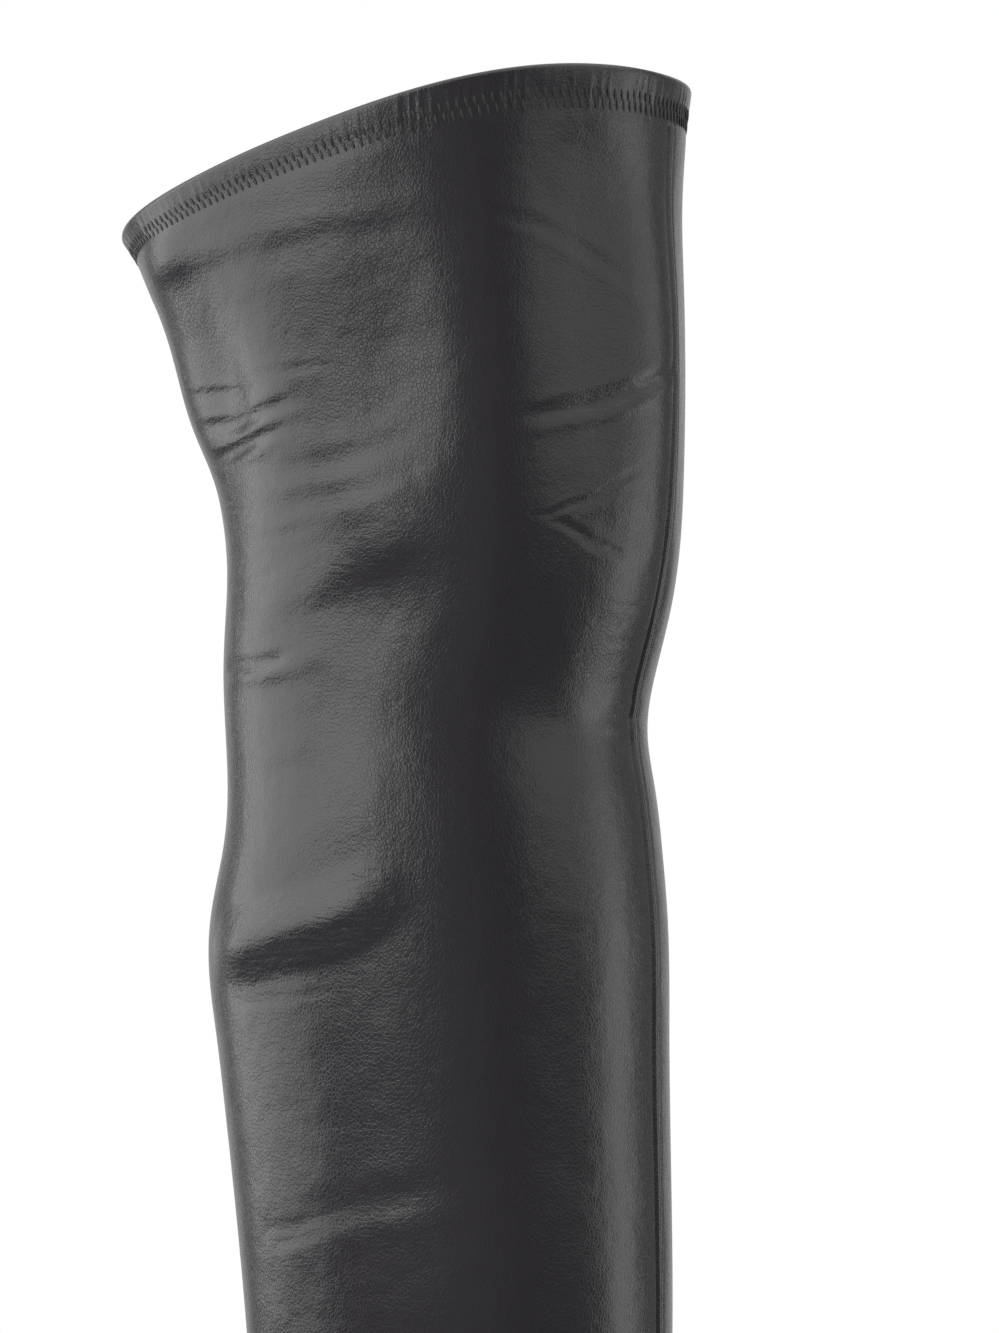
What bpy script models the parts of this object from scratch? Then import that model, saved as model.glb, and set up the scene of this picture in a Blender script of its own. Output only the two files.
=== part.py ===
"""Thigh high boot for the right foot, pulled on, standing empty on its sole and block heel.

The toe points along +X, the inner side of the leg faces +Y and +Z is up. Sections are laid out with x counted from the
back of the heel, and every piece is then shifted so that the origin lies under the middle of the whole boot.
"""

import math
from collections import namedtuple

import bpy
import numpy as np

# The foot, in metres
SOLE_LENGTH = 0.238  # back of the heel to the tip of the toe, along the floor
BALL_WIDTH = 0.078  # of the upper's edge where it meets the sole
HEEL_HEIGHT = 0.060  # floor to the underside of the sole at the back of the seat
INSTEP_HEIGHT = 0.150  # floor to the bend in front of the ankle
TOE_SPRING = 0.006  # rise of the sole's tip

# The shaft, in metres
BOOT_HEIGHT = 0.680  # floor to the top edge in front
CALF_DEPTH = 0.1212  # widest part of the calf, back to front
CALF_WIDTH = 0.106
TOPLINE_ARCH = 0.009  # rise of the top edge beside its front, on each side
TOPLINE_DEPTH = 0.080  # how far below the top edge that rise begins

# The upper's leather with its lining
WALL = 0.0016
HEM_HEIGHT = 0.0085
HEM_OUTSIDE = 0.0004  # how far the turned hem stands out of the leather
HEM_INSIDE = 0.0009
HEM_STEP = 0.0006  # height of the slope between the hem and the leather
HEM_ROUND = 0.0012  # how far below the top edge the rim starts to round over
RIM_OUTSIDE = -0.5  # the rim's share of HEM_OUTSIDE: it lies inside the leather's face
RIM_INSIDE = 0.4

# The sole and the heel
SOLE_THICKNESS = 0.0035
SOLE_MARGIN = 0.0012  # how far the sole stands out past the upper's edge
SOLE_BEVEL = 0.0008
INSOLE_THICKNESS = 0.002
INSOLE_MARGIN = 0.0012  # between the insole and the upper's inner face
SEAT_SLOPE = 0.07  # fall of the heel seat towards the toe, per unit of length
SEAT_END = 0.056  # where the seat turns down into the arch
TREAD_BACK = 0.158  # the flat spot under the ball
TREAD_FRONT = 0.190
LIFT_THICKNESS = 0.006
LIFT_LENGTH = 0.047
LIFT_WIDTH = 0.045
LIFT_BACK = 0.004  # the lift's back edge, from the back of the heel
HEEL_TOP_LENGTH = 0.055
HEEL_INSET = 0.0006  # from the sole's edge in to the heel's sides
HEEL_CURVE = 1.5  # exponent of the heel's sides from the lift up to the seat: 1 is straight
FIT_GAP = 0.0003  # between pieces that lie on each other

# How finely the forms are cut
COLUMNS = 30  # round the upper
FOOT_ROWS = 35  # from the toe to the back of the heel
SHAFT_ROWS = 34  # from the heel to the hem
SOLE_COLUMNS = 8  # across the sole
HEEL_SMOOTHING = 16  # passes that ease the foot's open sections into the closed ones
SMOOTHED_FOOT_ROWS = 12
SMOOTHED_SHAFT_ROWS = 7
SMOOTHED_FROM = 6  # columns from the sole or the back line, where the smoothing has its full strength
EVEN_SHARE = 0.2  # of the foot's rows that lie evenly: the rest crowd at the toe and the heel
HEEL_ROWS = 8
HEEL_SIDE_STEPS = 14  # from the back of the heel to its breast

# Sections of the foot, open underneath. bottom and top_x are shares of SOLE_LENGTH, top_z of INSTEP_HEIGHT, and the
# rest of BALL_WIDTH: the ridge's place across the foot, the edge on the sole and the widest reach on the outer (lateral)
# and inner (medial) side, from the foot's axis. widest is how far up the section the widest point lies.
FootSection = namedtuple("FootSection", "bottom top_x top_z ridge lateral_edge medial_edge lateral medial widest")
FOOT_SECTIONS = (
    FootSection(1.000, 1.000, 0.065, 0.050, 0.050, 0.050, 0.050, 0.050, 0.40),
    FootSection(0.993, 0.992, 0.125, 0.050, -0.075, 0.175, -0.080, 0.180, 0.38),
    FootSection(0.968, 0.964, 0.178, 0.045, -0.210, 0.275, -0.222, 0.285, 0.35),
    FootSection(0.916, 0.908, 0.226, 0.035, -0.335, 0.375, -0.355, 0.390, 0.32),
    FootSection(0.840, 0.828, 0.278, 0.025, -0.430, 0.450, -0.455, 0.470, 0.30),
    FootSection(0.748, 0.727, 0.350, 0.020, -0.495, 0.480, -0.520, 0.505, 0.28),
    FootSection(0.660, 0.632, 0.440, 0.020, -0.505, 0.450, -0.525, 0.485, 0.27),
    FootSection(0.560, 0.545, 0.555, 0.020, -0.470, 0.365, -0.495, 0.430, 0.27),
    FootSection(0.460, 0.480, 0.675, 0.015, -0.415, 0.275, -0.455, 0.390, 0.28),
    FootSection(0.357, 0.440, 0.785, 0.010, -0.365, 0.250, -0.425, 0.385, 0.30),
    FootSection(0.252, 0.420, 0.875, 0.005, -0.355, 0.300, -0.415, 0.390, 0.33),
    FootSection(0.147, 0.411, 0.945, 0.000, -0.352, 0.334, -0.410, 0.395, 0.36),
    FootSection(0.072, 0.408, 0.990, 0.000, -0.315, 0.306, -0.405, 0.395, 0.38),
    FootSection(0.028, 0.407, 1.022, 0.000, -0.228, 0.226, -0.402, 0.395, 0.39),
    FootSection(0.006, 0.406, 1.046, 0.000, -0.112, 0.112, -0.401, 0.395, 0.40),
    FootSection(0.000, 0.406, 1.055, 0.000, 0.000, 0.000, -0.400, 0.395, 0.40),
)

# Closed sections, from the heel up. The heights are shares of BOOT_HEIGHT, back and front are shares of CALF_DEPTH from
# the back of the heel, half_width is a share of CALF_WIDTH, and widest lies between the back (0) and the front (1).
ShaftSection = namedtuple("ShaftSection", "back_z front_z back front half_width widest")
SHAFT_SECTIONS = (
    ShaftSection(0.118, 0.243, -0.022, 0.796, 0.290, 0.41),
    ShaftSection(0.142, 0.257, -0.020, 0.796, 0.290, 0.42),
    ShaftSection(0.178, 0.278, 0.018, 0.798, 0.296, 0.44),
    ShaftSection(0.218, 0.305, 0.050, 0.802, 0.310, 0.46),
    ShaftSection(0.262, 0.338, 0.060, 0.807, 0.330, 0.47),
    ShaftSection(0.316, 0.376, 0.040, 0.814, 0.360, 0.48),
    ShaftSection(0.382, 0.419, -0.010, 0.824, 0.396, 0.48),
    ShaftSection(0.451, 0.466, -0.058, 0.834, 0.430, 0.48),
    ShaftSection(0.518, 0.518, -0.088, 0.841, 0.462, 0.48),
    ShaftSection(0.593, 0.593, -0.132, 0.835, 0.484, 0.48),
    ShaftSection(0.639, 0.639, -0.166, 0.832, 0.495, 0.48),
    ShaftSection(0.674, 0.674, -0.178, 0.829, 0.500, 0.48),
    ShaftSection(0.698, 0.696, -0.150, 0.818, 0.498, 0.48),
    ShaftSection(0.724, 0.724, -0.134, 0.800, 0.488, 0.49),
    ShaftSection(0.754, 0.755, -0.142, 0.780, 0.480, 0.49),
    ShaftSection(0.784, 0.786, -0.146, 0.822, 0.486, 0.49),
    ShaftSection(0.812, 0.818, -0.138, 0.855, 0.496, 0.50),
    ShaftSection(0.840, 0.842, -0.154, 0.864, 0.510, 0.50),
    ShaftSection(0.870, 0.898, -0.212, 0.868, 0.532, 0.50),
    ShaftSection(0.903, 0.941, -0.262, 0.860, 0.556, 0.50),
    ShaftSection(0.927, 0.973, -0.332, 0.864, 0.572, 0.50),
    ShaftSection(0.943, 1.000, -0.400, 0.884, 0.582, 0.50),
)
ROUNDNESS = 2.15  # exponent of the sections' curve: 2 is an ellipse
TOE_ROUNDNESS = 2.5

Finish = namedtuple("Finish", "colour roughness")
FINISHES = {
    "upper": Finish((0.020, 0.019, 0.020), 0.42),
    "insole": Finish((0.050, 0.047, 0.045), 0.65),
    "outsole": Finish((0.020, 0.020, 0.021), 0.60),
    "heel": Finish((0.020, 0.019, 0.020), 0.42),
    "top_lift": Finish((0.018, 0.018, 0.018), 0.70),
}
SHARP_ANGLE = math.radians(40)


def natural_spline(knots, rows, at):
    """The natural cubic spline through rows of numbers at rising knots, read at the places in at."""
    knots, rows, at = np.asarray(knots), np.asarray(rows), np.asarray(at)
    step = np.diff(knots)
    rise = np.diff(rows, axis=0) / step[:, None]
    bend_matrix = np.eye(len(knots))
    bend_side = np.zeros_like(rows)
    for i in range(1, len(knots) - 1):
        bend_matrix[i, i - 1 : i + 2] = step[i - 1], 2 * (step[i - 1] + step[i]), step[i]
        bend_side[i] = 6 * (rise[i] - rise[i - 1])
    bend = np.linalg.solve(bend_matrix, bend_side)
    span = np.clip(np.searchsorted(knots, at, side="right") - 1, 0, len(step) - 1)
    ahead = (at - knots[span])[:, None]
    width = step[span][:, None]
    slope = rise[span] - width * (2 * bend[span] + bend[span + 1]) / 6
    cubic = (bend[span + 1] - bend[span]) / (6 * width)
    return rows[span] + ahead * (slope + ahead * (bend[span] / 2 + ahead * cubic))


def sole_under(x):
    """Height of the sole's underside: a sloping seat, one S curve down the arch, a flat tread and the toe spring."""
    x = np.asarray(x, float)
    seat = HEEL_HEIGHT - SEAT_SLOPE * x
    run = TREAD_BACK - SEAT_END
    t = np.clip((x - SEAT_END) / run, 0, 1)
    seat_edge = HEEL_HEIGHT - SEAT_SLOPE * SEAT_END
    arch = seat_edge * (2 * t**3 - 3 * t**2 + 1) - SEAT_SLOPE * run * (t**3 - 2 * t**2 + t)
    toe = TOE_SPRING * (np.clip(x - TREAD_FRONT, 0, None) / (SOLE_LENGTH - TREAD_FRONT)) ** 2
    return np.where(x < SEAT_END, seat, np.where(x < TREAD_BACK, arch, toe))


def edge_height(x):
    """Height of the upper's lower edge, just clear of the sole."""
    return sole_under(x) + SOLE_THICKNESS + FIT_GAP


def section_rows():
    """The two tables as rows of real sizes: bottom x and z, top x and z, ridge, edges, reaches and widest point."""
    foot = []
    for s in FOOT_SECTIONS:
        bottom = s.bottom * SOLE_LENGTH
        across = [BALL_WIDTH * v for v in (s.ridge, s.lateral_edge, s.medial_edge, s.lateral, s.medial)]
        top = [s.top_x * SOLE_LENGTH, s.top_z * INSTEP_HEIGHT]
        foot.append([bottom, float(edge_height(bottom)), *top, *across, s.widest])
    shaft = []
    for s in SHAFT_SECTIONS:
        half = s.half_width * CALF_WIDTH
        back = [s.back * CALF_DEPTH, s.back_z * BOOT_HEIGHT]
        front = [s.front * CALF_DEPTH, s.front_z * BOOT_HEIGHT]
        shaft.append([*back, *front, 0, 0, 0, -half, half, s.widest])
    return np.array(foot), np.array(shaft)


def travel(rows):
    """How far each row lies from the first, along the path of the sections' middles."""
    middle = (rows[:, 0:2] + rows[:, 2:4]) / 2
    return np.concatenate([[0], np.cumsum(np.linalg.norm(np.diff(middle, axis=0), axis=1))])


def half_section(row, side, count, roundness):
    """Points from the lower edge up to the ridge on one side (-1 outer, 1 inner), as x, y, z.

    In the section's plane the curve is part of a superellipse: the reach across is cos^(2/n) and the height sin^(2/n)
    of one angle, which starts where the curve meets the edge on the sole, or at the back line of a closed section.
    """
    bottom_x, bottom_z, top_x, top_z, ridge, *across, widest = row
    edge = abs(across[0 if side < 0 else 1] - ridge)
    reach = max(abs(across[2 if side < 0 else 3] - ridge), 1e-9)
    power = 2 / roundness
    start = math.acos(min(edge / reach, 1.0) ** (1 / power))
    angle = np.linspace(-start, math.pi / 2, count)
    below = widest / max(math.sin(start), 1e-6) ** power
    share = widest + np.where(angle < 0, -below, 1 - widest) * np.abs(np.sin(angle)) ** power
    out = reach * np.abs(np.cos(angle)) ** power
    share[0], share[-1], out[-1] = 0, 1, 0
    return np.stack(
        [bottom_x + share * (top_x - bottom_x), ridge + side * out, bottom_z + share * (top_z - bottom_z)], axis=1
    )


def upper_rows():
    """Section sizes row by row from the toe to the top edge, each row's distance from the top, and the open rows' count."""
    foot, shaft = section_rows()
    whole = np.concatenate([foot, shaft])
    knots = travel(whole)
    end = knots[-1]
    even = np.linspace(0, 1, FOOT_ROWS)
    crowded = (1 - np.cos(math.pi * even)) / 2
    stations = SOLE_LENGTH * (1 - EVEN_SHARE * even - (1 - EVEN_SHARE) * crowded)
    toe_places = np.interp(-stations, -foot[:, 0], knots[: len(foot)])
    shaft_places = np.linspace(knots[len(foot) - 1], end - HEM_HEIGHT, SHAFT_ROWS + 1)[1:]
    hem_places = end - np.array([HEM_HEIGHT - HEM_STEP, HEM_HEIGHT / 2, HEM_ROUND, 0])
    places = np.concatenate([toe_places, shaft_places, hem_places])
    rows = natural_spline(knots, whole, places)
    edges = [0, 4, 5, 6]
    rows[:FOOT_ROWS, edges] = natural_spline(knots[: len(foot)], foot[:, edges], toe_places)
    rows[:FOOT_ROWS, 1] = edge_height(rows[:FOOT_ROWS, 0])
    back = np.concatenate([foot[-1:, :2], shaft[:, :2]])
    rows[FOOT_ROWS - 1 :, :2] = natural_spline(knots[len(foot) - 1 :], back, places[FOOT_ROWS - 1 :])
    rows[FOOT_ROWS:, 4:7] = 0
    return rows, end - places


def outer_grid():
    """Points of the upper's outer face, row by row from the toe to the top edge, and each row's distance to the top."""
    rows, to_top = upper_rows()
    half = COLUMNS // 2 + 1
    grid = []
    for i, row in enumerate(rows):
        roundness = TOE_ROUNDNESS + (ROUNDNESS - TOE_ROUNDNESS) * min(i / FOOT_ROWS, 1)
        outer = half_section(row, -1, half, roundness)
        inner = half_section(row, 1, half, roundness)
        grid.append(np.concatenate([outer, inner[-2::-1]]))
    grid = np.array(grid)
    column = np.arange(COLUMNS + 1)
    ease = np.clip(np.minimum(column, COLUMNS - column) / SMOOTHED_FROM, 0, 1)
    near = grid[FOOT_ROWS - SMOOTHED_FOOT_ROWS : FOOT_ROWS + SMOOTHED_SHAFT_ROWS]
    for _ in range(HEEL_SMOOTHING):
        near[1:-1] += ease[:, None] * (near[:-2] - 2 * near[1:-1] + near[2:]) / 4
    around = np.linspace(0, 2 * math.pi, COLUMNS + 1)
    fade = np.clip(1 - to_top / TOPLINE_DEPTH, 0, 1) ** 2
    arch = (np.sin(around) * (1 - np.cos(around)) / 2) ** 2
    grid[:, :, 2] += TOPLINE_ARCH * fade[:, None] * arch[None, :]
    return grid, to_top


def without_repeats(corners):
    """A face without the corners that fall together."""
    return [int(v) for k, v in enumerate(corners) if v != corners[k - 1]]


def grid_faces(row_count):
    """The grid's vertex numbers, with one point for the toe and the closed rows joined at the back, and its faces."""
    number = np.zeros((row_count, COLUMNS + 1), int)
    used = [(0, 0)]
    for i in range(1, row_count):
        columns = COLUMNS + 1 if i < FOOT_ROWS - 1 else COLUMNS
        number[i] = number[i, 0]
        number[i, :columns] = np.arange(len(used), len(used) + columns)
        if columns == COLUMNS:
            number[i, COLUMNS] = number[i, 0]
        used += [(i, j) for j in range(columns)]
    faces = []
    for i in range(row_count - 1):
        for j in range(COLUMNS):
            corners = [number[i, j], number[i, j + 1], number[i + 1, j + 1], number[i + 1, j]]
            faces.append(without_repeats(corners))
    return number, used, faces


def point_normals(points, faces):
    """Outward direction at each point: the sum of the directions of the faces round it, each by its area."""
    normals = np.zeros_like(points)
    for face in faces:
        corners = points[face]
        area = np.cross(corners[1] - corners[0], corners[-1] - corners[0])
        if len(face) == 4:
            area = area + np.cross(corners[3] - corners[2], corners[1] - corners[2])
        normals[face] += area
    return normals / np.linalg.norm(normals, axis=1)[:, None]


def strip(first, second):
    """Faces between two closed rings of as many vertices."""
    count = len(first)
    return [
        [int(first[k]), int(first[(k + 1) % count]), int(second[(k + 1) % count]), int(second[k])]
        for k in range(count)
    ]


def upper_shape():
    """The upper's points and faces: outer face, the same face a wall further in, the top rim and the lower rim."""
    grid, to_top = outer_grid()
    number, used, faces = grid_faces(len(grid))
    outer = np.array([grid[i, j] for i, j in used])
    distance = np.array([to_top[i] for i, _ in used])
    normals = point_normals(outer, faces)
    edge = [number[i, 0] for i in range(FOOT_ROWS)]
    edge += [number[i, COLUMNS] for i in range(FOOT_ROWS - 2, 0, -1)]
    flat = normals[edge] * (1, 1, 0)
    normals[edge] = flat / np.linalg.norm(flat, axis=1)[:, None]

    hem = np.clip((HEM_HEIGHT - distance) / HEM_STEP, 0, 1)
    at_rim = distance < HEM_ROUND / 2
    inner = outer - normals * (WALL + hem * HEM_INSIDE * np.where(at_rim, RIM_INSIDE, 1))[:, None]
    outside = outer + normals * (hem * HEM_OUTSIDE * np.where(at_rim, RIM_OUTSIDE, 1))[:, None]
    inner[edge, 2] = edge_height(inner[edge, 0])

    count = len(outer)
    top = number[-1, :COLUMNS]
    faces += [[v + count for v in reversed(face)] for face in faces]
    faces += strip(top, top + count)
    faces += strip(np.array(edge), np.array(edge) + count)
    return np.concatenate([outside, inner]), faces


def edge_ring(margin):
    """The upper's lower edge moved outwards by margin: its outer and inner side, each from the toe to the heel, as x, y."""
    rows = upper_rows()[0][:FOOT_ROWS]
    outer, inner = rows[:, [0, 5]], rows[:, [0, 6]]
    ring = np.concatenate([outer, inner[-2:0:-1]])
    along = np.roll(ring, -1, axis=0) - np.roll(ring, 1, axis=0)
    out = np.stack([-along[:, 1], along[:, 0]], axis=1)
    moved = ring + margin * out / np.linalg.norm(out, axis=1)[:, None]
    other = np.concatenate([moved[:1], moved[:FOOT_ROWS - 1:-1], moved[FOOT_ROWS - 1 : FOOT_ROWS]])
    return moved[:FOOT_ROWS], other


def plate_shape(levels):
    """A closed plate from levels, each an outer and an inner side and a height for each x, from the underside up.

    The two sides share their first and last points. Only the lowest and the highest level are filled, in rows across.
    """
    points, faces, numbers = [], [], []
    for k, (outer, inner, height) in enumerate(levels):
        filled = k in (0, len(levels) - 1)
        numbers.append([])
        for a, b in zip(outer, inner):
            shares = np.linspace(0, 1, (SOLE_COLUMNS if filled else 1) + 1)
            if np.allclose(a, b):
                shares = shares[:1]
            start = len(points)
            for share in shares:
                x, y = a + (b - a) * share
                points.append((x, y, float(height(x))))
            row = list(range(start, len(points)))
            numbers[-1].append(row if len(row) > 1 else row * (SOLE_COLUMNS + 1))
    rings = [[row[0] for row in rows] + [row[-1] for row in rows[-2:0:-1]] for rows in numbers]
    for low, high in zip(rings, rings[1:]):
        faces += strip(high, low)
    for rows, turn in ((numbers[0], -1), (numbers[-1], 1)):
        for near, far in zip(rows, rows[1:]):
            for j in range(SOLE_COLUMNS):
                corners = [near[j], near[j + 1], far[j + 1], far[j]]
                faces.append(without_repeats(corners)[::turn])
    return points, faces


def outsole_shape():
    """The sole: its underside bevelled at the edge, its top face just under the upper's lower edge."""
    low = edge_ring(SOLE_MARGIN - SOLE_BEVEL)
    full = edge_ring(SOLE_MARGIN)
    return plate_shape(
        [
            (*low, sole_under),
            (*full, lambda x: sole_under(x) + SOLE_BEVEL),
            (*full, lambda x: sole_under(x) + SOLE_THICKNESS),
        ]
    )


def insole_shape():
    """The insole: inside the upper's wall, on the sole."""
    ring = edge_ring(-WALL - INSOLE_MARGIN)
    return plate_shape(
        [
            (*ring, edge_height),
            (*ring, lambda x: edge_height(x) + INSOLE_THICKNESS),
        ]
    )


def heel_ring():
    """The heel's outline under the seat, from the middle of the back round each side to the breast, as x, y."""
    outer, inner = edge_ring(SOLE_MARGIN - HEEL_INSET)
    sides = []
    for side in (outer, inner):
        turned = side[::-1]
        kept = turned[turned[:, 0] < HEEL_TOP_LENGTH]
        end = np.interp(HEEL_TOP_LENGTH, turned[:, 0], turned[:, 1])
        path = np.concatenate([kept, [[HEEL_TOP_LENGTH, end]]])
        length = np.concatenate([[0], np.cumsum(np.linalg.norm(np.diff(path, axis=0), axis=1))])
        at = np.linspace(0, length[-1], HEEL_SIDE_STEPS + 1)
        sides.append(np.stack([np.interp(at, length, path[:, 0]), np.interp(at, length, path[:, 1])], axis=1))
    return sides


def block_shape(sides, bottom_z, top_height, low_side, rows, curve):
    """A closed block under a ring given by its two sides: low_side turns each into the one at the bottom."""
    levels = []
    for share in np.linspace(0, 1, rows + 1):
        blend = share**curve
        level = [low_side(side) + (side - low_side(side)) * blend for side in sides]
        levels.append((level, share))
    points, faces, numbers = [], [], []
    for (outer, inner), share in levels:
        tops = [top_height(side[:, 0]) for side in sides]
        numbers.append([])
        for k in range(len(outer)):
            pair = [(outer[k], tops[0][k]), (inner[k], tops[1][k])]
            if k == 0:
                pair = pair[:1]
            start = len(points)
            for (x, y), top in pair:
                points.append((x, y, bottom_z + (top - bottom_z) * share))
            numbers[-1].append([start, len(points) - 1])
    rings = [[row[0] for row in rows] + [row[1] for row in rows[:0:-1]] for rows in numbers]
    for low, high in zip(rings, rings[1:]):
        faces += strip(low, high)
    for rows, turn in ((numbers[0], 1), (numbers[-1], -1)):
        for near, far in zip(rows, rows[1:]):
            faces.append(without_repeats([near[0], near[1], far[1], far[0]])[::turn])
    return points, faces


def lift_outline(side):
    """A side of the heel's outline scaled to the top lift's length and width."""
    ring = np.concatenate(heel_ring())
    back = ring[:, 0].min()
    length = HEEL_TOP_LENGTH - back
    width = np.ptp(ring[:, 1])
    scaled = (side - (back, 0)) * (LIFT_LENGTH / length, LIFT_WIDTH / width)
    return scaled + (LIFT_BACK, 0)


def heel_shape():
    """The block heel: wide under the seat, drawn in towards the top lift."""
    bottom = LIFT_THICKNESS + FIT_GAP
    return block_shape(heel_ring(), bottom, lambda x: sole_under(x) - FIT_GAP, lift_outline, HEEL_ROWS, HEEL_CURVE)


def top_lift_shape():
    """The rubber lift on the floor under the heel."""
    sides = [lift_outline(side) for side in heel_ring()]
    return block_shape(sides, 0.0, lambda x: np.full_like(x, LIFT_THICKNESS), lambda side: side, 1, 1)


def finish_material(name, finish):
    """A material with the finish's colour and roughness."""
    material = bpy.data.materials.new(name)
    material.use_nodes = True
    shader = material.node_tree.nodes["Principled BSDF"]
    shader.inputs["Base Color"].default_value = (*finish.colour, 1)
    shader.inputs["Roughness"].default_value = finish.roughness
    shader.inputs["Metallic"].default_value = 0
    return material


def add_object(name, shape, shift):
    """A smooth mesh object of the shape, moved by shift, with its finish."""
    points, faces = shape
    mesh = bpy.data.meshes.new(name)
    mesh.from_pydata((np.asarray(points) + shift).tolist(), [], faces)
    mesh.validate()
    mesh.shade_smooth()
    mesh.set_sharp_from_angle(angle=SHARP_ANGLE)
    mesh.materials.append(finish_material(name, FINISHES[name]))
    node = bpy.data.objects.new(name, mesh)
    bpy.context.scene.collection.objects.link(node)


def main():
    for old in list(bpy.data.objects):
        bpy.data.objects.remove(old)
    shapes = {
        "upper": upper_shape(),
        "insole": insole_shape(),
        "outsole": outsole_shape(),
        "heel": heel_shape(),
        "top_lift": top_lift_shape(),
    }
    every_point = np.concatenate([np.asarray(points) for points, _ in shapes.values()])
    low, high = every_point.min(axis=0), every_point.max(axis=0)
    shift = -np.array([(low[0] + high[0]) / 2, (low[1] + high[1]) / 2, low[2]])
    for name, shape in shapes.items():
        add_object(name, shape, shift)


main()
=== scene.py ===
"""Thigh high boot, right foot: stretch nappa upper with an arched zigzag hem, block heel, thin sole."""

import math
from collections import namedtuple
from functools import cached_property

import bmesh
import bpy
import mathutils
import numpy as np
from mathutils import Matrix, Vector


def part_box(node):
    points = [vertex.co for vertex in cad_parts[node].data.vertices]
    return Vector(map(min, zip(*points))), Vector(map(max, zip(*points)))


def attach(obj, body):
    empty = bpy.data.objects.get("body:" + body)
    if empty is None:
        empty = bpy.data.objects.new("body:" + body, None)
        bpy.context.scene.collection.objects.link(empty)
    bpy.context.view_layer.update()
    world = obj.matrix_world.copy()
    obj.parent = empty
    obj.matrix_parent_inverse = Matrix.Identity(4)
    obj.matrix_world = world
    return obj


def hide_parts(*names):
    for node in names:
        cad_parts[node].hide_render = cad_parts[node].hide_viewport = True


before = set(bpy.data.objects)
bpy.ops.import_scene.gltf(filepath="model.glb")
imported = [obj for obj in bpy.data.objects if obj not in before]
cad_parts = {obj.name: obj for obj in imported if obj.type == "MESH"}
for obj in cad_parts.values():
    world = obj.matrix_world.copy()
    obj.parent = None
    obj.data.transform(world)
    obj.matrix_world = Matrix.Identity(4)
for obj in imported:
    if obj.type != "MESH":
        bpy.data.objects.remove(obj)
for leftover in ("Cube", "Light", "Camera"):
    if leftover in bpy.data.objects:
        bpy.data.objects.remove(bpy.data.objects[leftover])
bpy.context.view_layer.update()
sole_low, sole_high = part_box("outsole")

# Sizes in metres, the same as the solids'
SOLE_MARGIN = 0.0012
SOLE_LENGTH = sole_high.x - sole_low.x - 2 * SOLE_MARGIN
HEEL_X = sole_low.x + SOLE_MARGIN  # where the back of the heel lies in the frame
BOOT_HEIGHT = 0.680
BALL_WIDTH = 0.078
HEEL_HEIGHT = 0.060
INSTEP_HEIGHT = 0.150
CALF_DEPTH = 0.1212
CALF_WIDTH = 0.106
TOPLINE_ARCH = 0.009
TOPLINE_DEPTH = 0.080
TOE_SPRING = 0.006
WALL = 0.0016
SOLE_THICKNESS = 0.0035
SOLE_BEVEL = 0.0008
INSOLE_THICKNESS = 0.002
INSOLE_MARGIN = 0.0012
SEAT_SLOPE = 0.07
SEAT_END = 0.056
TREAD_BACK = 0.158
TREAD_FRONT = 0.190
LIFT_THICKNESS = 0.006
LIFT_LENGTH = 0.047
LIFT_WIDTH = 0.045
LIFT_BACK = 0.004
HEEL_TOP_LENGTH = 0.055
HEEL_INSET = 0.0006
HEEL_CURVE = 1.5
FIT_GAP = 0.0003
HEM_HEIGHT = 0.0085

# Rows and columns of the sections, and the steps of the fine surface laid through them
COLUMNS = 30
FOOT_ROWS = 35
SHAFT_ROWS = 34
HEEL_SMOOTHING = 16
SMOOTHED_FOOT_ROWS = 12
SMOOTHED_SHAFT_ROWS = 7
SMOOTHED_FROM = 6
EVEN_SHARE = 0.2
FINE_COLUMNS = 330
FOOT_STEP = 0.0034
LOW_SHAFT_STEP = 0.0027
LEG_STEP = 0.00125
RIM_STEP = 0.0006
LEG_FROM = 0.350  # height above which the leather has close rows, and is a piece of its own
RIM_BAND = 0.013
KNEE_BELOW = 0.112  # from the rim down to the knee, whose small creases need closer rows
KNEE_REACH = 0.034
KNEE_CLOSER = 0.6  # how much closer they are there
OUTER_CLOSER = 0.8  # how much closer the columns are on the outer side, at the front seam and at the back
FRONT_CLOSER = 2.0
BACK_CLOSER = 0.6
FRONT_REACH = 8  # in degrees
BACK_REACH = 5

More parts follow.
